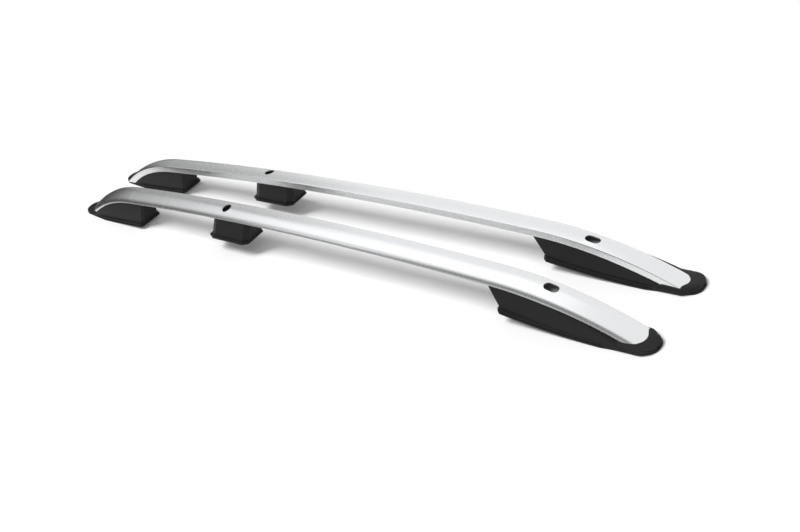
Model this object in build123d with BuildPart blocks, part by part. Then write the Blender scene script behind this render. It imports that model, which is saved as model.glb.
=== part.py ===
"""A handed pair of roof side rails: hollow aluminium bars on black moulded feet with rubber pads."""
import math
import os
from dataclasses import dataclass

from build123d import *

# The pair, laid side by side with the rear ends towards -X
LENGTH = 1676.0  # rear pad tip to front pad tip
SPACING = 149.8  # between the centre lines of the two rails at mid length
TOE_OUT = 0.37  # degrees each rail is turned, so that the pair opens towards the front

# Section of the bar, measured from the middle of its flat floor; inner is the side facing the other rail
INNER_HALF = 25.0  # middle to the upright inner side
OUTER_HALF = 23.5  # middle to the foot of the rounded outer side
INNER_HEIGHT = 16.5
CROWN_OFFSET = 6.0  # highest point, towards the inner side
CROWN_HEIGHT = 18.6
SHOULDER_OFFSET = 16.0  # where the crown turns into the outer side
SHOULDER_HEIGHT = 13.0
BAR_WALL = 2.4
CREASE_R = 2.0
FLOOR_EDGE = 1.2

# Side view of the bar's floor: a long arch and a bend at each end that comes down on the toe
CROWN_X = 2.0
CROWN_Z = 87.0
ARCH_R = 9000.0
REAR_BEND_R = 400.0
FRONT_BEND_R = 735.0

# Feet: moulded shells, open below
SHELL_WALL = 3.0
TOP_PLATE = 3.2
RIB = 2.4
LEDGE = 3.5  # flange beyond the wall
FLANGE = 4.5
TOP_INSET = 1.2  # wall top inside the bar's floor edge
SEAT = 0.2  # gap kept where a foot meets the bar
END_CLIP = (6.0, 5.0)  # corners of an end foot's inner end, along and across the rail
MIDDLE_CLIP = (16.0, 8.0)
TOE_DRAW = (100.0, 10.0)  # an end foot's sides draw in towards the tip, along and across
TIP_R = 22.0
TOE_WEB = 36.0  # solid length behind the flat toe
SPARE = 40.0  # trimming layers run on this far past a foot

# Rubber pads under the end feet
PAD = 3.5
PAD_PROUD = 1.5  # pad beyond the flange
PAD_BAND = 12.0  # width of the rubber frame
PAD_SEAT = 0.05

# Front foot; ribs, screws and bolt at shares of its length from the inner end
FRONT_LENGTH = 312.0
FRONT_TOE = 59.0  # flat toe behind the tip
FRONT_RISE = 22.0  # inner end of the base above the toe
FRONT_LEAN = -24.0  # top of the inner end against its base
FRONT_WIDTH = 65.5
FRONT_SHIFT = -2.5  # base towards the outer side
FRONT_RIBS = (0.15, 0.24, 0.43, 0.58)
FRONT_SCREWS = (0.08, 0.51)
FRONT_BOLT = 0.343
FRONT_BOLT_Y = 6.0  # bolt towards the inner side

# Middle foot
MIDDLE_X = -234.0
MIDDLE_BASE_Z = 32.5
MIDDLE_LENGTH = 132.0
MIDDLE_WIDTH = 66.0
MIDDLE_SHIFT = -3.0
MIDDLE_LEAN = 25.0
MIDDLE_RIBS = (0.22, 0.68)
MIDDLE_SCREWS = (0.34, 0.8)
MIDDLE_BOLT = 0.51

# Rear foot
REAR_LENGTH = 264.0
REAR_TOE = 53.0
REAR_RISE = 7.5
REAR_LEAN = 31.0
REAR_WIDTH = 61.5
REAR_SHIFT = -3.0
REAR_RIBS = (0.2, 0.38, 0.55)
REAR_SCREWS = (0.1, 0.29)

# Roof bolts: plug hole in the bar's top wall, screw hole in its floor, steel sleeve in the foot's boss
PLUG_HOLE = (23.0, 23.0)  # round over the middle foot
PLUG_SLOT = (30.0, 18.0)  # slotted along the rail over the front foot
FLOOR_HOLE_R = 5.0
BOLT_HOLE_R = 4.5
SLEEVE_R = 7.0
SLEEVE_FIT = 0.1
BOSS_WALL = 3.5

# Hexagon headed self-tapping screws from each foot into the bar's floor
SCREW_R = 2.4
SCREW_HEAD_R = 4.6
SCREW_HEAD = 3.2
SCREW_POINT = 2.5  # beyond the floor, inside the bar
SCREW_FIT = 0.2

# Datums
RAIL_Y = -SPACING / 2
SIDE = Plane.XZ.offset(SPACING / 2)  # upright plane through the right rail, seen from its outer side
REACH = SPACING / 2  # half thickness of the slabs that trim the right rail's pieces
SKY = 2 * CROWN_Z  # above everything
PIT = -CROWN_Z  # below everything
TOE_TOP = PAD + FLANGE


def plan(z):
    """Horizontal plane at a height, centred on the right rail with its inner side towards +Y."""
    return Plane(origin=(0, RAIL_Y, z))


def normal(slope):
    return Vector(-math.sin(slope), math.cos(slope))


def along(slope):
    return Vector(math.cos(slope), math.sin(slope))


arch_centre = Vector(CROWN_X, CROWN_Z - ARCH_R)


def bend(toe_x, radius):
    """Arc from the arch down to a toe: its centre, radius, slope on the arch and slope on the toe."""
    toe = Vector(toe_x, TOE_TOP)
    reach = toe - arch_centre
    arm = ARCH_R - radius
    swing = math.acos((arm**2 + reach.length**2 - radius**2) / (2 * arm * reach.length))
    bearing = math.atan2(-reach.X, reach.Y)
    join = bearing - math.copysign(swing, bearing)
    centre = arch_centre + normal(join) * arm
    spoke = toe - centre
    return centre, radius, join, math.atan2(-spoke.X, spoke.Y)


# The floor's three arcs from rear to front: centre, radius, first and last slope
FRONT_TIP = LENGTH / 2 - PAD_PROUD
REAR_TIP = -FRONT_TIP
rear_centre, _, rear_join, rear_slope = bend(REAR_TIP + REAR_TOE, REAR_BEND_R)
front_centre, _, front_join, front_slope = bend(FRONT_TIP - FRONT_TOE, FRONT_BEND_R)
FLOOR_ARCS = (
    (rear_centre, REAR_BEND_R, rear_slope, rear_join),
    (arch_centre, ARCH_R, rear_join, front_join),
    (front_centre, FRONT_BEND_R, front_join, front_slope),
)


def floor_line(drop=0.0):
    """Draws the bar's floor in side view, or a line that far below it, and returns its two ends."""
    depth = CROWN_HEIGHT  # the ends run on straight to this far below the ground

    def point(arc, slope):
        centre, radius = arc[:2]
        return centre + normal(slope) * (radius - drop)

    rear = point(FLOOR_ARCS[0], rear_slope)
    front = point(FLOOR_ARCS[-1], front_slope)
    rear_end = rear - along(rear_slope) * ((rear.Y + depth) / math.sin(rear_slope))
    front_end = front - along(front_slope) * ((front.Y + depth) / math.sin(front_slope))
    Line(tuple(rear_end), tuple(rear))
    for arc in FLOOR_ARCS:
        first, last = arc[2:]
        ThreePointArc(*(tuple(point(arc, slope)) for slope in (first, (first + last) / 2, last)))
    Line(tuple(front), tuple(front_end))
    return rear_end, front_end


def floor_at(x):
    """Height and slope of the bar's floor at a station between the toes."""
    joins = [centre.X - radius * math.sin(last) for centre, radius, _, last in FLOOR_ARCS[:-1]]
    centre, radius = FLOOR_ARCS[sum(x > join for join in joins)][:2]
    slope = math.asin((centre.X - x) / radius)
    return centre.Y + radius * math.cos(slope), slope


def floor_plane(x):
    """Plane on the bar's floor at a station, facing up out of it."""
    height, slope = floor_at(x)
    up = normal(slope)
    return Plane(origin=(x, RAIL_Y, height), x_dir=(0, 1, 0), z_dir=(up.X, 0, up.Y))


def under_bar(drop):
    """Side view of everything below the bar's floor, less a drop."""
    with BuildSketch(SIDE) as side:
        with BuildLine():
            rear_end, front_end = floor_line(drop)
            Polyline(front_end, (front_end.X, PIT), (rear_end.X, PIT), rear_end)
        make_face()
    return side.sketch


def octagon(x_range, y_range, clips, inset=0.0):
    """Corners of a rectangle drawn in by an inset, clipped along and across by one pair at each end."""
    (x_low, x_high), (y_low, y_high) = ((low + inset, high - inset) for low, high in (x_range, y_range))
    (low_x, low_y), (high_x, high_y) = ((x - inset / 2, y - inset / 2) for x, y in clips)
    return [
        (x_low, y_low + low_y), (x_low + low_x, y_low),
        (x_high - high_x, y_low), (x_high, y_low + high_y),
        (x_high, y_high - high_y), (x_high - high_x, y_high),
        (x_low + low_x, y_high), (x_low, y_high - low_y),
    ]


@dataclass
class Foot:
    """Layout of one foot: x along the rail, y from the rail's centre line, inner positive."""

    tip: float  # outer end of the base, past the bar's nose on an end foot
    inner: float  # inner end of the base
    base_z: float
    rise: float  # inner end of the base above the toe
    lean: float
    width: float
    shift: float
    clip: tuple
    ribs: tuple  # shares of the length from the inner end, as are the screws and the bolt
    screws: tuple
    bolt: float = None
    bolt_y: float = 0.0
    plug: tuple = None  # hole over the bolt, along and across the rail
    toe: float = 0.0  # length of the flat toe; none on the middle foot
    pad: float = 0.0  # thickness of the rubber below the flange

    @property
    def out(self):
        """Direction along X from the inner end to the tip."""
        return math.copysign(1, self.tip - self.inner)

    @property
    def toe_x(self):
        return self.tip - self.out * self.toe

    @property
    def x_range(self):
        return sorted((self.tip, self.inner))

    @property
    def y_range(self):
        return self.shift - self.width / 2, self.shift + self.width / 2

    def station(self, share):
        """Place along the rail at a share of the way from the inner end to the tip."""
        return self.inner + share * (self.tip - self.inner)

    @property
    def bolt_place(self):
        """Place of the bolt along and across the rail."""
        return self.station(self.bolt), self.bolt_y

    def clips(self, tip_clip):
        """Corner clips of the two ends in order of x."""
        return (self.clip, tip_clip)[::round(self.out)]

    def base_line(self, lift):
        """Draws the underside, raised by a lift: a flat toe, then an arc that climbs past the inner end."""
        start = Vector(self.tip + self.out * SPARE, self.base_z + lift)
        if not self.rise:
            end = Vector(self.inner - self.out * SPARE, self.base_z + lift)
            Line(start, end)
            return start, end
        run = abs(self.toe_x - self.inner)
        radius = (run**2 + self.rise**2) / (2 * self.rise)
        turn = math.asin((run + SPARE) / radius)

        def point(angle):
            return Vector(self.toe_x - self.out * (radius - lift) * math.sin(angle),
                          self.base_z + radius - (radius - lift) * math.cos(angle))

        Line(start, point(0))
        ThreePointArc(point(0), point(turn / 2), point(turn))
        return start, point(turn)

    def beside_base(self, lift, level):
        """Side view of everything between the raised underside and a level far above or below it."""
        with BuildSketch(SIDE) as side:
            with BuildLine():
                start, end = self.base_line(lift)
                Polyline(end, (end.X, level), (start.X, level), start)
            make_face()
        return side.sketch

    def base_layer(self, low, high):
        """Side view of the layer between two lifts of the underside."""
        with BuildSketch(SIDE) as side:
            with BuildLine():
                low_start, low_end = self.base_line(low)
                high_start, high_end = self.base_line(high)
                Line(low_start, high_start)
                Line(low_end, high_end)
            make_face()
        return side.sketch

    def outline(self, grow=0.0):
        """Plan of the flange, or one that much larger; an end foot's draws in to round corners at the tip."""
        corners = octagon(self.x_range, self.y_range, self.clips(TOE_DRAW if self.toe else self.clip), -grow)
        with BuildSketch(plan(0)) as sketch:
            with BuildLine():
                Polyline(*corners, close=True)
            make_face()
            if self.toe:
                tips = sketch.vertices().sort_by(Axis.X, reverse=self.out > 0)[:2]
                fillet(tips, TIP_R + grow)
        return sketch.sketch

    def wall_section(self, share, inset, toe_end):
        """Plan of the wall at a share of the way up from the inner end's base to the bar's floor there."""
        foot_level = self.base_z + self.rise
        top_level = floor_at(self.inner)[0]
        low, high = (edge + side * LEDGE for edge, side in zip(self.y_range, (1, -1)))
        top_low, top_high = TOP_INSET - OUTER_HALF, INNER_HALF - TOP_INSET
        x_range = sorted(x + share * self.lean for x in (self.inner + self.out * LEDGE, toe_end))
        y_range = low + share * (top_low - low), high + share * (top_high - high)
        corners = octagon(x_range, y_range, self.clips(self.clip), inset)
        with BuildSketch(plan(foot_level + share * (top_level - foot_level))) as sketch:
            with BuildLine():
                Polyline(*corners, close=True)
            make_face()
        return sketch.sketch

    def wall_sections(self, inset, toe_end):
        """Plans of the wall below its base and above the bar's floor, to loft between."""
        below, above = -0.4, 1.3  # shares of the height that reach past both ends
        return [self.wall_section(below, inset, toe_end), self.wall_section(above, inset, toe_end)]


FRONT = Foot(FRONT_TIP, FRONT_TIP - FRONT_LENGTH, 0.0, FRONT_RISE, FRONT_LEAN, FRONT_WIDTH, FRONT_SHIFT, END_CLIP,
             FRONT_RIBS, FRONT_SCREWS, FRONT_BOLT, FRONT_BOLT_Y, PLUG_SLOT, FRONT_TOE, PAD)
MIDDLE = Foot(MIDDLE_X + MIDDLE_LENGTH / 2, MIDDLE_X - MIDDLE_LENGTH / 2, MIDDLE_BASE_Z, 0.0, MIDDLE_LEAN,
              MIDDLE_WIDTH, MIDDLE_SHIFT, MIDDLE_CLIP, MIDDLE_RIBS, MIDDLE_SCREWS, MIDDLE_BOLT, plug=PLUG_HOLE)
REAR = Foot(REAR_TIP, REAR_TIP + REAR_LENGTH, 0.0, REAR_RISE, REAR_LEAN, REAR_WIDTH, REAR_SHIFT, END_CLIP,
            REAR_RIBS, REAR_SCREWS, toe=REAR_TOE, pad=PAD)
FEET = {"front": FRONT, "middle": MIDDLE, "rear": REAR}


def screw_planes(foot):
    """Planes on the bar's floor where a foot's screws go up into it."""
    return [floor_plane(foot.station(share)) for share in foot.screws]


def make_bar():
    """Hollow extrusion bent along the floor line, mitred on the end feet's flanges and drilled."""
    with BuildPart() as bar:
        with BuildLine(SIDE) as spine:
            rear_end, _ = floor_line()
        start = (rear_end.X, RAIL_Y, rear_end.Y)
        ahead = along(rear_slope)
        with BuildSketch(Plane(origin=start, x_dir=(0, 1, 0), z_dir=(ahead.X, 0, ahead.Y))) as section:
            with BuildLine():
                floor = Line((-OUTER_HALF, 0), (INNER_HALF, 0))
                inner_side = Line(floor @ 1, (INNER_HALF, INNER_HEIGHT))
                shoulder = (-SHOULDER_OFFSET, SHOULDER_HEIGHT)
                crown = ThreePointArc(inner_side @ 1, (CROWN_OFFSET, CROWN_HEIGHT), shoulder)
                TangentArc(shoulder, floor @ 0, tangent=crown % 1)
            make_face()
            fillet(section.vertices().group_by(Axis.X)[-1].sort_by(Axis.Y)[-1], CREASE_R)
            chamfer(section.vertices().group_by(Axis.Y)[0], FLOOR_EDGE)
            offset(amount=-BAR_WALL, kind=Kind.INTERSECTION, mode=Mode.SUBTRACT)
        sweep(path=spine.line)
        for foot in (FRONT, REAR):
            extrude(foot.beside_base(TOE_TOP + SEAT, PIT), amount=REACH, both=True, mode=Mode.SUBTRACT)
        for foot in FEET.values():
            if foot.bolt:
                middle = floor_at(foot.bolt_place[0])[0] + CROWN_HEIGHT / 2
                with BuildSketch(plan(middle)):
                    with Locations(foot.bolt_place):
                        Circle(FLOOR_HOLE_R)
                extrude(amount=-SKY, mode=Mode.SUBTRACT)
                length, width = foot.plug
                with BuildSketch(plan(middle)):
                    with Locations(foot.bolt_place):
                        if length > width:
                            SlotOverall(length, width)
                        else:
                            Circle(width / 2)
                extrude(amount=SKY, mode=Mode.SUBTRACT)
            for plane in screw_planes(foot):
                with BuildSketch(plane):
                    Circle(SCREW_R + SCREW_FIT)
                extrude(amount=CROWN_HEIGHT / 3, both=True, mode=Mode.SUBTRACT)
    return bar.part


def make_hollow(foot):
    """Space inside a foot's shell, less its ribs and bolt boss."""
    toe_end = foot.toe_x - foot.out * (TOE_WEB if foot.toe else LEDGE)
    with BuildPart() as hollow:
        loft(foot.wall_sections(SHELL_WALL, toe_end), ruled=True)
        extrude(under_bar(SEAT + TOP_PLATE), amount=REACH, both=True, mode=Mode.INTERSECT)
        for share in foot.ribs:
            with Locations((foot.station(share), RAIL_Y, 0)):
                Box(RIB, SPACING, 2 * SKY, mode=Mode.SUBTRACT)
        if foot.bolt:
            with Locations(plan(0).from_local_coords((*foot.bolt_place, 0))):
                Cylinder(SLEEVE_R + SLEEVE_FIT + BOSS_WALL, 2 * SKY, mode=Mode.SUBTRACT)
    return hollow.part


def make_flange(foot):
    """Flange round a foot's base."""
    with BuildPart() as flange:
        extrude(foot.outline(), amount=SKY, both=True)
        extrude(foot.base_layer(foot.pad, foot.pad + FLANGE), amount=REACH, both=True, mode=Mode.INTERSECT)
    return flange.part


def make_foot(foot):
    """Moulded shell under the bar: flared walls, top plate, ribs, flange and bolt boss."""
    toe_end = foot.tip - foot.out * (TIP_R if foot.toe else LEDGE)
    with BuildPart() as shell:
        loft(foot.wall_sections(0.0, toe_end), ruled=True)
        extrude(under_bar(SEAT), amount=REACH, both=True, mode=Mode.INTERSECT)
        extrude(foot.beside_base(foot.pad, SKY), amount=REACH, both=True, mode=Mode.INTERSECT)
        add(make_flange(foot))
        add(make_hollow(foot), mode=Mode.SUBTRACT)
        if foot.bolt:
            with Locations(plan(0).from_local_coords((*foot.bolt_place, 0))):
                Cylinder(SLEEVE_R + SLEEVE_FIT, 2 * SKY, mode=Mode.SUBTRACT)
        for plane in screw_planes(foot):
            with BuildSketch(plane):
                Circle(SCREW_R + SCREW_FIT)
            extrude(amount=TOP_PLATE + CROWN_HEIGHT / 3, both=True, mode=Mode.SUBTRACT)
    return shell.part


def make_pad(foot):
    """Rubber frame below an end foot's flange, whole under the toe."""
    toe_end = foot.toe_x - foot.out * TOE_WEB
    x_range = sorted((foot.inner + foot.out * PAD_BAND, toe_end))
    y_low, y_high = foot.y_range
    with BuildPart() as pad:
        extrude(foot.outline(PAD_PROUD), amount=SKY, both=True)
        extrude(foot.base_layer(0.0, foot.pad - PAD_SEAT), amount=REACH, both=True, mode=Mode.INTERSECT)
        with BuildSketch(plan(0)):
            with BuildLine():
                corners = octagon(x_range, (y_low + PAD_BAND, y_high - PAD_BAND), foot.clips(foot.clip))
                Polyline(*corners, close=True)
            make_face()
        extrude(amount=SKY, both=True, mode=Mode.SUBTRACT)
    return pad.part


def make_sleeve(foot):
    """Steel sleeve in a foot's boss, from the underside of the flange to the bar's floor."""
    with BuildPart() as sleeve:
        with Locations(plan(0).from_local_coords((*foot.bolt_place, 0))):
            Cylinder(SLEEVE_R, 2 * SKY)
            Cylinder(BOLT_HOLE_R, 2 * SKY, mode=Mode.SUBTRACT)
        extrude(under_bar(SEAT), amount=REACH, both=True, mode=Mode.INTERSECT)
        extrude(foot.beside_base(foot.pad, SKY), amount=REACH, both=True, mode=Mode.INTERSECT)
    return sleeve.part


def make_screws(foot):
    """A foot's self-tapping screws, heads up against its top plate."""
    under_plate = SEAT + TOP_PLATE + PAD_SEAT
    with BuildPart() as screws:
        for plane in screw_planes(foot):
            with BuildSketch(plane.offset(-under_plate - SCREW_HEAD)):
                RegularPolygon(SCREW_HEAD_R, 6)
            extrude(amount=SCREW_HEAD)
            with BuildSketch(plane.offset(-under_plate)):
                Circle(SCREW_R)
            extrude(amount=under_plate + BAR_WALL + SCREW_POINT)
    return screws.part


def save(name, shape):
    shape.label = name
    export_step(shape, f"parts/{name}.step")


def save_pair(name, piece):
    """Turns a piece with the right rail, and writes it and its mirror image for the left rail."""
    right = piece.rotate(Axis((0, RAIL_Y, 0), (0, 0, 1)), -TOE_OUT)
    save(f"right_{name}", right)
    save(f"left_{name}", mirror(right, about=Plane.XZ))


os.makedirs("parts", exist_ok=True)
save_pair("bar", make_bar())
for place, foot in FEET.items():
    save_pair(f"{place}_foot", make_foot(foot))
    save_pair(f"{place}_foot_screws", make_screws(foot))
    if foot.pad:
        save_pair(f"{place}_pad", make_pad(foot))
    if foot.bolt:
        save_pair(f"{place}_bolt_sleeve", make_sleeve(foot))
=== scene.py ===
"""Looks of a pair of roof side rails: satin bars, black moulded feet, rubber pads and plated fasteners."""
import math

import bpy
from bpy.props import FloatProperty, FloatVectorProperty, PointerProperty
from mathutils import Matrix, Vector
from mathutils.bvhtree import BVHTree


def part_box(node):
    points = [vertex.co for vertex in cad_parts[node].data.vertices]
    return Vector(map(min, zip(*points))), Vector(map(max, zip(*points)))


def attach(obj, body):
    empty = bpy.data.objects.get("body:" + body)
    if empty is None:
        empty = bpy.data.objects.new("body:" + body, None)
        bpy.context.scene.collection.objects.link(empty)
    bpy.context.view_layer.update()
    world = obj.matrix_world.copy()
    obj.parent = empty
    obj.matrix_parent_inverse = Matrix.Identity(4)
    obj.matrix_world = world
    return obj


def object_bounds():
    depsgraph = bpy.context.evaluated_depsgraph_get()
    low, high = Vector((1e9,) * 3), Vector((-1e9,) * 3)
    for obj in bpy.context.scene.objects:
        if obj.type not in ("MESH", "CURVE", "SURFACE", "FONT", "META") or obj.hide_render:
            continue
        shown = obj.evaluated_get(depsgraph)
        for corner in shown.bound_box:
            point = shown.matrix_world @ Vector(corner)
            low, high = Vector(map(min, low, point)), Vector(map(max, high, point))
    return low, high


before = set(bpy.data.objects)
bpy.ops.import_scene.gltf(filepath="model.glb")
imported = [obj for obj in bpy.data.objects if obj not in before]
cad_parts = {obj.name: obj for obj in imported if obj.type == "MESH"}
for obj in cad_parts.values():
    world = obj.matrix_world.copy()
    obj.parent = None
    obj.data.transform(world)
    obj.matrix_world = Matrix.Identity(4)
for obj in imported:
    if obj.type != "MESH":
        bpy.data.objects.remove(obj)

bl_info = {
    "name": "Roof side rail pair",
    "version": (1, 0, 0),
    "blender": (4, 5, 0),
    "location": "View3D > Sidebar > Roof rails",
    "description": "Finishes a pair of roof side rails and sets them on a pale studio floor",
    "category": "Object",
}

MM = 0.001
CAD_LOW, CAD_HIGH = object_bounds()
PICTURE_WIDTH = 800  # pixels
WHITE = (1.0, 1.0, 1.0, 1.0)

# Faces that count as the inside of a hollow bar, in metres
BORE_REACH = 60 * MM  # furthest that the wall across can be
FACE_LIFT = 0.01 * MM  # start of the look, clear of the face itself

# Raised toe round a front nose, in millimetres
TOE_REACH = 92.0  # length behind the tip
TOE_SIDES = (-114.5, -50.0)  # outer and inner side across, on the right rail
TOE_CORNER = 29.0
TOE_DRAW = (28.0, 10.0)  # the inner side draws in towards the tip, along and across
TOE_FOOT, TOE_EDGE = 2.0, 7.0  # heights of the skirt's foot and of the edge above it
TOE_RISE = 1.8  # crown above the edge
TOE_ROUND = 18.0  # width of the rounding inside the edge
TOE_LEAN = 0.13  # rise towards the inner side, for each millimetre across
TOE_CLIMB = 0.12  # rise towards the rear, for each millimetre along
TOE_FADE = 30.0  # length over which the rear end sinks into the foot
TOE_CELLS = 32  # cells along and across
TOE_SHARP = math.radians(50)  # edges that stay sharp

# Patterns of the finishes, in millimetres where they are lengths
NOISE_LOW, NOISE_HIGH = 0.3, 0.7  # range that a noise texture mostly keeps to
SPARKLE_SWING = 0.06  # change of the bars' roughness either way
SPARKLE_DEPTH = 0.05
DIE_LINE = 1.5  # spacing of the lines inside the bars
DIE_LINE_ALONG = 0.05  # squeeze along the bar that draws the lines out
FOOT_GRAIN_DEPTH = 0.1
BLOOM_PATCH = 18.0
ZINC_PATCH = 3.0

# Stage, in metres
FLOOR_GAP = 0.2 * MM  # floor below the pads
KEY_FALL = (0.5, 0.34, -1.0)  # way the key light falls
PAINT = "paint"
CARD_DARK, CARD_WHITE = 0.05, 1.25
# Sheets seen only in reflections, which paint dark and bright reflections on the metal; the two flat on
# the floor paint it darker in reflections than it is.
CARDS = (  # name, corners, share of white in the paint at each corner
    ("rear_card_right",
     ((-1.5, -1.3, 0.0), (-1.5, 0.4, 0.0), (-1.5, 0.4, 1.5), (-1.5, -1.3, 1.5)), (0.0, 0.0, 0.92, 0.92)),
    ("rear_card_left",
     ((-1.5, 0.4, 0.0), (-1.5, 1.6, 0.0), (-1.5, 1.6, 1.5), (-1.5, 0.4, 1.5)), (0.27, 0.63, 0.73, 0.39)),
    ("side_card",
     ((-0.7, -1.3, 0.0), (1.2, -1.3, 0.0), (1.2, -1.3, 1.4), (-0.7, -1.3, 1.4)), (0.2, 0.34, 0.3, 0.75)),
    ("front_painted_reflection",
     ((-1.5, -0.17, 0.0), (1.2, -0.17, 0.0), (1.2, -1.3, 0.0), (-1.5, -1.3, 0.0)), (0.2, 0.54, 0.32, 0.0)),
    ("rear_painted_reflection",
     ((-0.87, -0.3, 0.0), (-0.87, 0.9, 0.0), (-1.5, 0.9, 0.0), (-1.5, -0.3, 0.0)), (0.0, 0.0, 0.0, 0.0)),
)
SOFT_BOX = ((-2.8, -1.5, 2.2), (0.6, -1.5, 2.2), (0.6, 1.1, 2.2), (-2.8, 1.1, 2.2))

# Nodes of the frame by what they are made of
BARS = [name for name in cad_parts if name.endswith("_bar")]
FEET = [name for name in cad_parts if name.endswith("_foot")]
PADS = [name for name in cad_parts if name.endswith("_pad")]
FASTENERS = [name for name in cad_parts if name.endswith(("_screws", "_sleeve"))]


def linear(hex_colour):
    """Linear red, green and blue of an sRGB colour written as six hex digits."""
    values = [int(hex_colour[i:i + 2], 16) / 255 for i in (0, 2, 4)]
    return tuple(v / 12.92 if v <= 0.04045 else ((v + 0.055) / 1.055) ** 2.4 for v in values)


def add_node(tree, kind, inputs=None, **settings):
    """Adds a node, sets its options, and sets or links its inputs by name or place."""
    node = tree.nodes.new(kind)
    for name, value in settings.items():
        setattr(node, name, value)
    for name, value in (inputs or {}).items():
        if isinstance(value, bpy.types.NodeSocket):
            tree.links.new(value, node.inputs[name])
        else:
            node.inputs[name].default_value = value
    return node


def new_material(name):
    """An empty node material and its tree."""
    material = bpy.data.materials.new(name)
    material.use_nodes = True
    material.node_tree.nodes.clear()
    return material, material.node_tree


def per_metre(size_mm):
    """Noise scale that gives features of about this size, for coordinates in metres."""
    return 1 / (size_mm * MM)


def colour(rgb):
    """A colour with full opacity, as a colour socket takes it."""
    return (*rgb, 1.0)


def assign(names, material):
    """Puts one material on the named nodes of the frame."""
    for name in names:
        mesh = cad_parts[name].data
        mesh.materials.clear()
        mesh.materials.append(material)


def line_bores(names, material):
    """Puts a second material on the faces of hollow nodes that look at another wall of the same node."""
    for name in names:
        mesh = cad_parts[name].data
        mesh.materials.append(material)
        walls = BVHTree.FromPolygons([v.co for v in mesh.vertices], [p.vertices for p in mesh.polygons])
        for face in mesh.polygons:
            start = face.center + face.normal * FACE_LIFT
            if walls.ray_cast(start, face.normal, BORE_REACH)[0] is not None:
                face.material_index = 1


class RailFinish(bpy.types.PropertyGroup):
    """Colours and grain of the pieces."""

    bar_colour: FloatVectorProperty(
        name="Bar", description="Satin silver of the bars", subtype="COLOR", min=0, max=1,
        default=linear("E6E7E8"))
    bar_roughness: FloatProperty(
        name="Bar roughness", description="How far the satin finish spreads reflections", subtype="FACTOR",
        min=0, max=1, default=0.27)
    bar_grain: FloatProperty(
        name="Bar grain", description="Size of the sparkle in the finish, in millimetres", min=0.1,
        default=1.6)
    # The grey inside the bars is darker than the bare metal: it is painted shade.
    mill_shade_colour: FloatVectorProperty(
        name="Bar inside", description="Dull silver of the bare metal inside the bars", subtype="COLOR",
        min=0, max=1, default=linear("A9AAAB"))
    foot_colour: FloatVectorProperty(
        name="Feet", description="Black of the moulded feet", subtype="COLOR", min=0, max=1,
        default=linear("212122"))
    foot_grain: FloatProperty(
        name="Foot grain", description="Size of the moulded texture, in millimetres", min=0.1, default=1.2)
    foot_edge: FloatProperty(
        name="Foot edges", description="Rounding of the moulded edges, in millimetres", min=0, default=1.8)
    pad_colour: FloatVectorProperty(
        name="Pads", description="Black of the rubber pads", subtype="COLOR", min=0, max=1,
        default=linear("101010"))
    zinc_colour: FloatVectorProperty(
        name="Fasteners", description="Bluish white of the zinc plating", subtype="COLOR", min=0, max=1,
        default=linear("C4C7CA"))


class RailStudio(bpy.types.PropertyGroup):
    """Camera, light and floor."""

    focal_px: FloatProperty(
        name="Focal length", description="Focal length in pixels of the picture", subtype="PIXEL", min=1,
        default=1113.3)
    heading: FloatProperty(
        name="Heading", description="Turn of the view from straight back along the rails", subtype="ANGLE",
        default=math.radians(40.254))
    pitch: FloatProperty(
        name="Pitch", description="Tilt of the view below level", subtype="ANGLE",
        default=math.radians(33.254))
    roll: FloatProperty(
        name="Roll", description="Turn of the picture about the view", subtype="ANGLE",
        default=math.radians(-20.092))
    camera_place: FloatVectorProperty(
        name="Camera", description="Place of the camera", subtype="TRANSLATION", unit="LENGTH",
        default=(1.6779, -1.2706, 1.2585))
    floor_colour: FloatVectorProperty(
        name="Floor", description="Pale floor", subtype="COLOR", min=0, max=1, default=linear("F2F2F2"))
    floor_lift: FloatProperty(
        name="Floor lift", description="Light of its own that the floor has where it is looked at", min=0,
        default=0.09)
    floor_size: FloatProperty(
        name="Floor size", description="Side of the floor", unit="LENGTH", min=1, default=40.0)
    key_strength: FloatProperty(
        name="Key", description="Strength of the soft key light", min=0, default=2.7)
    key_angle: FloatProperty(
        name="Key spread", description="Angle that the soft key fills, seen from the rails",
        subtype="ANGLE", default=math.radians(30))
    box_strength: FloatProperty(
        name="Soft box", description="Brightness of the soft box in reflections", min=0, default=1.3)
    dome_strength: FloatProperty(
        name="Dome", description="Strength of the even light from all round", min=0, default=0.34)


class RAILS_OT_bars(bpy.types.Operator):
    """Gives the bars their satin anodised aluminium"""

    bl_idname = "rails.bars"
    bl_label = "Finish the bars"

    def execute(self, context):
        assign(BARS, anodised_aluminium(context.scene.rail_finish))
        # The faces inside the bars get a darker grey that paints their shade.
        line_bores(BARS, mill_aluminium_painted_shade(context.scene.rail_finish))
        return {"FINISHED"}


class RAILS_OT_feet(bpy.types.Operator):
    """Gives the feet their grained black plastic"""

    bl_idname = "rails.feet"
    bl_label = "Finish the feet"

    def execute(self, context):
        assign(FEET, moulded_nylon(context.scene.rail_finish))
        return {"FINISHED"}


class RAILS_OT_toes(bpy.types.Operator):
    """Raises the toe of each front foot round the nose of its bar"""

    bl_idname = "rails.toes"
    bl_label = "Raise the toes"

    def execute(self, context):
        for side in ("right", "left"):
            foot = f"{side}_front_foot"
            toe = raised_toe(context, f"{side}_front_toe", foot, mirrored=side == "left")
            toe.data.materials.append(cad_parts[foot].data.materials[0])
            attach(toe, "root")
        return {"FINISHED"}


class RAILS_OT_pads(bpy.types.Operator):
    """Gives the pads their matt rubber"""

    bl_idname = "rails.pads"
    bl_label = "Finish the pads"

    def execute(self, context):
        assign(PADS, moulded_rubber(context.scene.rail_finish))
        return {"FINISHED"}


class RAILS_OT_fasteners(bpy.types.Operator):
    """Gives the screws and bolt sleeves their zinc plating"""

    bl_idname = "rails.fasteners"
    bl_label = "Finish the fasteners"

    def execute(self, context):
        assign(FASTENERS, zinc_plated_steel(context.scene.rail_finish))
        return {"FINISHED"}


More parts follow.
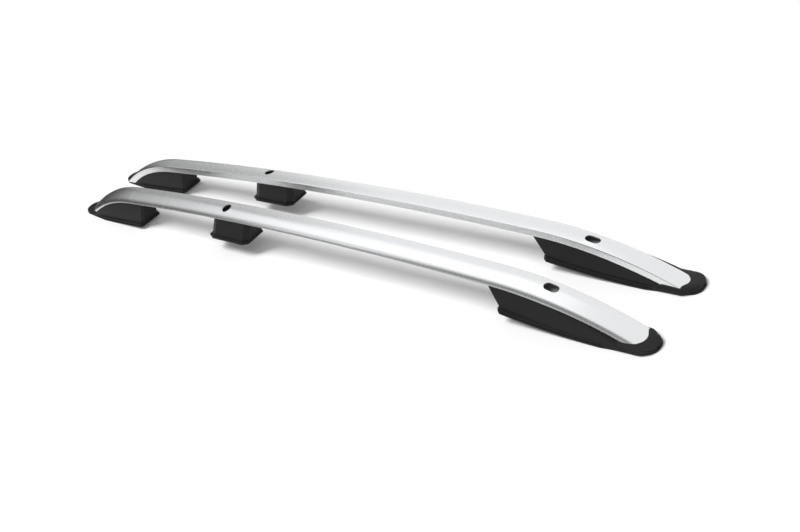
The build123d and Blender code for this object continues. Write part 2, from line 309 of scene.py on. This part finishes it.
class RAILS_OT_stage(bpy.types.Operator):
    """Lays the floor, sets the light and places the camera"""

    bl_idname = "rails.stage"
    bl_label = "Set the stage"

    def execute(self, context):
        studio = context.scene.rail_studio
        lay_floor(context, studio)
        set_cards(context, studio)
        set_light(context, studio)
        place_camera(context, studio)
        context.scene.view_settings.view_transform = "Standard"
        return {"FINISHED"}


class RAILS_PT_panel(bpy.types.Panel):
    """Lists the rails' operators and settings"""

    bl_idname = "RAILS_PT_panel"
    bl_label = "Roof side rails"
    bl_space_type = "VIEW_3D"
    bl_region_type = "UI"
    bl_category = "Roof rails"

    def draw(self, context):
        for operator in OPERATORS:
            self.layout.operator(operator.bl_idname)
        for group in (context.scene.rail_finish, context.scene.rail_studio):
            column = self.layout.column()
            for name in group.__annotations__:
                column.prop(group, name)


def smooth(share):
    """Eases a share from 0 to 1."""
    share = min(max(share, 0.0), 1.0)
    return share * share * (3 - 2 * share)


def toe_faces():
    """Faces of the toe's grid: its top, the same cells turned over below, and the skirt round the rim."""
    wide = TOE_CELLS + 1
    below = wide * wide
    faces = []
    for i in range(TOE_CELLS):
        for j in range(TOE_CELLS):
            rear = i * wide + j
            front = rear + wide
            faces.append((rear, front, front + 1, rear + 1))
            faces.append(tuple(point + below for point in (rear, rear + 1, front + 1, front)))
    last = TOE_CELLS * wide  # first point of the row at the tip
    rim = [*range(0, wide), *range(2 * wide - 1, last, wide), *range(last + wide - 1, last - 1, -1),
           *range(last - wide, 0, -wide)]
    return faces + [(a, b, b + below, a + below) for a, b in zip(rim, rim[1:] + rim[:1])]


def raised_toe(context, name, foot, mirrored):
    """Domed toe with rounded corners that cups the nose and sinks into the foot behind it."""
    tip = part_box(foot)[1].x / MM
    middle = sum(TOE_SIDES) / 2
    half = (TOE_SIDES[1] - TOE_SIDES[0]) / 2
    corner_x = tip - TOE_CORNER

    def half_width(x):
        """Half the width at x, less where the corners round off."""
        past = max(x - corner_x, 0.0)
        return half - TOE_CORNER + math.sqrt(max(TOE_CORNER ** 2 - past ** 2, 0.0))

    def height(x, across):
        """Height of the top, rounded inside the edge and level with it at the rear end."""
        past, beside = x - corner_x, abs(across) - (half - TOE_CORNER)
        inside = TOE_CORNER - (math.hypot(past, beside) if past > 0 and beside > 0 else max(past, beside))
        dome = math.sqrt(1 - (1 - min(max(inside, 0.0) / TOE_ROUND, 1.0)) ** 2)
        crown = TOE_RISE + TOE_LEAN * across + TOE_CLIMB * (tip - x)
        return TOE_EDGE + crown * dome * smooth((x - tip + TOE_REACH) / TOE_FADE)

    def drawn_in(x, across):
        """Place across on the right rail, drawn in most on the inner side at the tip."""
        share = max(1 - (tip - x) / TOE_DRAW[0], 0.0) * (1 + across / half_width(x)) / 2
        return middle + across - TOE_DRAW[1] * share

    # Points crowd towards the tip and the sides, where the top rounds off
    rows = range(TOE_CELLS + 1)
    plan = []
    for i in rows:
        x = tip - TOE_REACH * (1 - math.sin(i / TOE_CELLS * math.pi / 2))
        plan += [(x, -half_width(x) * math.cos(j / TOE_CELLS * math.pi)) for j in rows]
    hand = -1 if mirrored else 1
    points = [(x * MM, hand * drawn_in(x, across) * MM, height(x, across) * MM) for x, across in plan]
    points += [(x, y, TOE_FOOT * MM) for x, y, _ in points]
    faces = toe_faces()
    mesh = bpy.data.meshes.new(name)
    mesh.from_pydata(points, [], [face[::hand] for face in faces])  # mirrored faces turn round
    mesh.polygons.foreach_set("use_smooth", [True] * len(faces))
    mesh.set_sharp_from_angle(angle=TOE_SHARP)
    toe = bpy.data.objects.new(name, mesh)
    context.scene.collection.objects.link(toe)
    return toe


def anodised_aluminium(finish):
    """Extruded aluminium, bead blasted and clear anodised."""
    # Blasting leaves a pearly sheen that spreads reflections evenly, with a fine sparkle and no brush
    # lines. The sparkle is really some tenths of a millimetre; it is drawn coarser so that it shows at
    # this distance.
    material, tree = new_material("anodised_aluminium")
    place = add_node(tree, "ShaderNodeTexCoord")
    sparkle = add_node(tree, "ShaderNodeTexNoise", {
        "Vector": place.outputs["Object"], "Scale": per_metre(finish.bar_grain), "Detail": 2.0,
        "Roughness": 0.6})
    rough = add_node(tree, "ShaderNodeMapRange", {
        "Value": sparkle.outputs["Fac"], "From Min": NOISE_LOW, "From Max": NOISE_HIGH,
        "To Min": finish.bar_roughness - SPARKLE_SWING, "To Max": finish.bar_roughness + SPARKLE_SWING})
    bump = add_node(tree, "ShaderNodeBump", {
        "Height": sparkle.outputs["Fac"], "Strength": 0.5, "Distance": SPARKLE_DEPTH * MM})
    surface = add_node(tree, "ShaderNodeBsdfPrincipled", {
        "Base Color": colour(finish.bar_colour), "Metallic": 1.0, "Roughness": rough.outputs["Result"],
        "Normal": bump.outputs["Normal"]})
    add_node(tree, "ShaderNodeOutputMaterial", {"Surface": surface.outputs["BSDF"]})
    return material


def mill_aluminium_painted_shade(finish):
    """Aluminium as it left the extrusion die, inside the bars, in a darker grey that is painted shade."""
    # Untreated and dusted with oxide, it scatters light where the outside reflects it. Its grey is kept
    # darker than the bare metal, as painted shade inside the hollow bar. The die leaves fine lines along
    # the bar, drawn coarser than they are.
    material, tree = new_material("mill_aluminium_painted_shade")
    place = add_node(tree, "ShaderNodeTexCoord")
    streak = add_node(tree, "ShaderNodeMapping", {
        "Vector": place.outputs["Object"], "Scale": (DIE_LINE_ALONG, 1.0, 1.0)})
    die_line = add_node(tree, "ShaderNodeTexNoise", {
        "Vector": streak.outputs["Vector"], "Scale": per_metre(DIE_LINE), "Detail": 2.0})
    rough = add_node(tree, "ShaderNodeMapRange", {
        "Value": die_line.outputs["Fac"], "From Min": NOISE_LOW, "From Max": NOISE_HIGH,
        "To Min": 0.4, "To Max": 0.6})
    surface = add_node(tree, "ShaderNodeBsdfPrincipled", {
        "Base Color": colour(finish.mill_shade_colour), "Metallic": 0.2, "Roughness": rough.outputs["Result"]})
    add_node(tree, "ShaderNodeOutputMaterial", {"Surface": surface.outputs["BSDF"]})
    return material


def moulded_nylon(finish):
    """Injection moulded black nylon with a fine spark-eroded grain from the mould."""
    # The grain breaks the gloss into a soft dark sheen, a little lighter where light strikes it flat.
    # It is really about a tenth of a millimetre, drawn coarser so that it shows at this distance.
    material, tree = new_material("moulded_nylon")
    place = add_node(tree, "ShaderNodeTexCoord")
    grain = add_node(tree, "ShaderNodeTexNoise", {
        "Vector": place.outputs["Object"], "Scale": per_metre(finish.foot_grain), "Detail": 3.0,
        "Roughness": 0.55})
    rough = add_node(tree, "ShaderNodeMapRange", {
        "Value": grain.outputs["Fac"], "From Min": NOISE_LOW, "From Max": NOISE_HIGH,
        "To Min": 0.42, "To Max": 0.58})
    rounded = add_node(tree, "ShaderNodeBevel", {"Radius": finish.foot_edge * MM}, samples=8)
    bump = add_node(tree, "ShaderNodeBump", {
        "Height": grain.outputs["Fac"], "Strength": 0.3, "Distance": FOOT_GRAIN_DEPTH * MM,
        "Normal": rounded.outputs["Normal"]})
    surface = add_node(tree, "ShaderNodeBsdfPrincipled", {
        "Base Color": colour(finish.foot_colour), "Roughness": rough.outputs["Result"], "IOR": 1.53,
        "Specular IOR Level": 0.14, "Normal": bump.outputs["Normal"]})
    add_node(tree, "ShaderNodeOutputMaterial", {"Surface": surface.outputs["BSDF"]})
    return material


def moulded_rubber(finish):
    """Compression moulded EPDM rubber, matt from the mould."""
    # It drinks light: no clear reflections, only a broad dull sheen and a faint cloudy bloom.
    material, tree = new_material("moulded_rubber")
    place = add_node(tree, "ShaderNodeTexCoord")
    bloom = add_node(tree, "ShaderNodeTexNoise", {
        "Vector": place.outputs["Object"], "Scale": per_metre(BLOOM_PATCH), "Detail": 3.0})
    rough = add_node(tree, "ShaderNodeMapRange", {
        "Value": bloom.outputs["Fac"], "From Min": NOISE_LOW, "From Max": NOISE_HIGH,
        "To Min": 0.68, "To Max": 0.82})
    surface = add_node(tree, "ShaderNodeBsdfPrincipled", {
        "Base Color": colour(finish.pad_colour), "Roughness": rough.outputs["Result"], "IOR": 1.5})
    add_node(tree, "ShaderNodeOutputMaterial", {"Surface": surface.outputs["BSDF"]})
    return material


def zinc_plated_steel(finish):
    """Turned steel, bright zinc plated."""
    # Plating keeps the metal's shine and adds a cold, slightly cloudy cast.
    material, tree = new_material("zinc_plated_steel")
    place = add_node(tree, "ShaderNodeTexCoord")
    cloud = add_node(tree, "ShaderNodeTexNoise", {
        "Vector": place.outputs["Object"], "Scale": per_metre(ZINC_PATCH), "Detail": 2.0})
    rough = add_node(tree, "ShaderNodeMapRange", {
        "Value": cloud.outputs["Fac"], "From Min": NOISE_LOW, "From Max": NOISE_HIGH,
        "To Min": 0.22, "To Max": 0.36})
    surface = add_node(tree, "ShaderNodeBsdfPrincipled", {
        "Base Color": colour(finish.zinc_colour), "Metallic": 1.0, "Roughness": rough.outputs["Result"]})
    add_node(tree, "ShaderNodeOutputMaterial", {"Surface": surface.outputs["BSDF"]})
    return material


def shown(tree):
    """Socket that is 1 where the camera, a reflection or a see-through surface looks at something."""
    path = add_node(tree, "ShaderNodeLightPath")
    seen = add_node(tree, "ShaderNodeMath", {
        0: path.outputs["Is Camera Ray"], 1: path.outputs["Is Glossy Ray"]}, operation="MAXIMUM")
    seen = add_node(tree, "ShaderNodeMath", {
        0: seen.outputs["Value"], 1: path.outputs["Is Transmission Ray"]}, operation="MAXIMUM")
    return seen.outputs["Value"]


def white_paper(studio):
    """Matt white studio floor."""
    # Where it is looked at it has a little light of its own, so the bare floor reaches white while it
    # keeps the shadows; the object itself is lit by the plain floor alone.
    material, tree = new_material("white_paper")
    lift = add_node(tree, "ShaderNodeMath", {0: shown(tree), 1: studio.floor_lift}, operation="MULTIPLY")
    paper = add_node(tree, "ShaderNodeBsdfDiffuse", {"Color": colour(studio.floor_colour)})
    glow = add_node(tree, "ShaderNodeEmission", {"Color": WHITE, "Strength": lift.outputs["Value"]})
    both = add_node(tree, "ShaderNodeAddShader", {0: paper.outputs["BSDF"], 1: glow.outputs["Emission"]})
    add_node(tree, "ShaderNodeOutputMaterial", {"Surface": both.outputs["Shader"]})
    return material


def graded_card():
    """Glowing sheet, near black to white by the share in its paint: a painted reflection on the metal."""
    material, tree = new_material("graded_card")
    share = add_node(tree, "ShaderNodeAttribute", attribute_name=PAINT)
    grey = add_node(
        tree, "ShaderNodeMapRange",
        {"Value": share.outputs["Fac"], "To Min": CARD_DARK, "To Max": CARD_WHITE},
        interpolation_type="SMOOTHSTEP")
    paint = add_node(tree, "ShaderNodeEmission", {"Color": WHITE, "Strength": grey.outputs["Result"]})
    add_node(tree, "ShaderNodeOutputMaterial", {"Surface": paint.outputs["Emission"]})
    return material


def soft_box_cloth(studio):
    """White cloth over the face of the soft box."""
    material, tree = new_material("soft_box_cloth")
    glow = add_node(tree, "ShaderNodeEmission", {"Color": WHITE, "Strength": studio.box_strength})
    add_node(tree, "ShaderNodeOutputMaterial", {"Surface": glow.outputs["Emission"]})
    return material


def stage_sheet(context, name, corners, material):
    """A flat four-cornered piece of the stage."""
    mesh = bpy.data.meshes.new(name)
    mesh.from_pydata(corners, [], [(0, 1, 2, 3)])
    mesh.materials.append(material)
    sheet = bpy.data.objects.new(name, mesh)
    context.scene.collection.objects.link(sheet)
    return sheet


def lay_floor(context, studio):
    """A wide flat floor just under the pads."""
    half = studio.floor_size / 2
    level = CAD_LOW.z - FLOOR_GAP
    corners = [(x, y, level) for x, y in ((-half, -half), (half, -half), (half, half), (-half, half))]
    stage_sheet(context, "floor", corners, white_paper(studio))


def hide_from_view(piece):
    """Leaves a piece of the stage to reflections alone."""
    piece.visible_camera = piece.visible_diffuse = piece.visible_shadow = False


def set_cards(context, studio):
    """Cards out of view that only the metal and the gloss see, so that their curves read."""
    painted = graded_card()
    for name, corners, shares in CARDS:
        card = stage_sheet(context, name, corners, painted)
        paint = card.data.attributes.new(PAINT, "FLOAT", "POINT")
        paint.data.foreach_set("value", shares)
        hide_from_view(card)
    hide_from_view(stage_sheet(context, "soft_box", SOFT_BOX, soft_box_cloth(studio)))


def set_light(context, studio):
    """A broad soft key from the viewer's left and an even dome, in a white surround."""
    lamp = bpy.data.lights.new("soft_key", "SUN")
    lamp.energy = studio.key_strength
    lamp.angle = studio.key_angle
    key = bpy.data.objects.new("soft_key", lamp)
    key.rotation_euler = Vector(KEY_FALL).to_track_quat("-Z", "Y").to_euler()
    key.visible_glossy = False  # the soft box stands for it in reflections
    context.scene.collection.objects.link(key)

    world = bpy.data.worlds.new("studio_surround")
    world.use_nodes = True
    tree = world.node_tree
    tree.nodes.clear()
    dome = add_node(tree, "ShaderNodeBackground", {"Color": WHITE, "Strength": studio.dome_strength})
    plain = add_node(tree, "ShaderNodeBackground", {"Color": WHITE, "Strength": 1.0})
    sky = add_node(tree, "ShaderNodeMixShader", {
        0: shown(tree), 1: dome.outputs["Background"], 2: plain.outputs["Background"]})
    add_node(tree, "ShaderNodeOutputWorld", {"Surface": sky.outputs["Shader"]})
    context.scene.world = world


def place_camera(context, studio):
    """The photograph's viewpoint, from the front right and above, with the picture rolled."""
    forward = Vector((-math.cos(studio.pitch) * math.cos(studio.heading),
                      math.cos(studio.pitch) * math.sin(studio.heading), -math.sin(studio.pitch)))
    level = Vector((math.sin(studio.heading), math.cos(studio.heading), 0))
    above = level.cross(forward)
    right = math.cos(studio.roll) * level + math.sin(studio.roll) * above
    up = math.cos(studio.roll) * above - math.sin(studio.roll) * level
    lens = bpy.data.cameras.new("camera")
    lens.lens = studio.focal_px / PICTURE_WIDTH * lens.sensor_width
    camera = bpy.data.objects.new("camera", lens)
    turn = Matrix((right, up, -forward)).transposed().to_4x4()
    camera.matrix_world = Matrix.Translation(studio.camera_place) @ turn
    context.scene.collection.objects.link(camera)
    context.scene.camera = camera


OPERATORS = (
    RAILS_OT_bars, RAILS_OT_feet, RAILS_OT_toes, RAILS_OT_pads, RAILS_OT_fasteners, RAILS_OT_stage)
CLASSES = (RailFinish, RailStudio, *OPERATORS, RAILS_PT_panel)


def register():
    for cls in CLASSES:
        bpy.utils.register_class(cls)
    bpy.types.Scene.rail_finish = PointerProperty(type=RailFinish)
    bpy.types.Scene.rail_studio = PointerProperty(type=RailStudio)


def unregister():
    del bpy.types.Scene.rail_studio
    del bpy.types.Scene.rail_finish
    for cls in reversed(CLASSES):
        bpy.utils.unregister_class(cls)


def main():
    """Finishes every piece and sets the stage."""
    register()
    bpy.ops.rails.bars()
    bpy.ops.rails.feet()
    bpy.ops.rails.toes()
    bpy.ops.rails.pads()
    bpy.ops.rails.fasteners()
    bpy.ops.rails.stage()


if __name__ == "__main__":
    main()
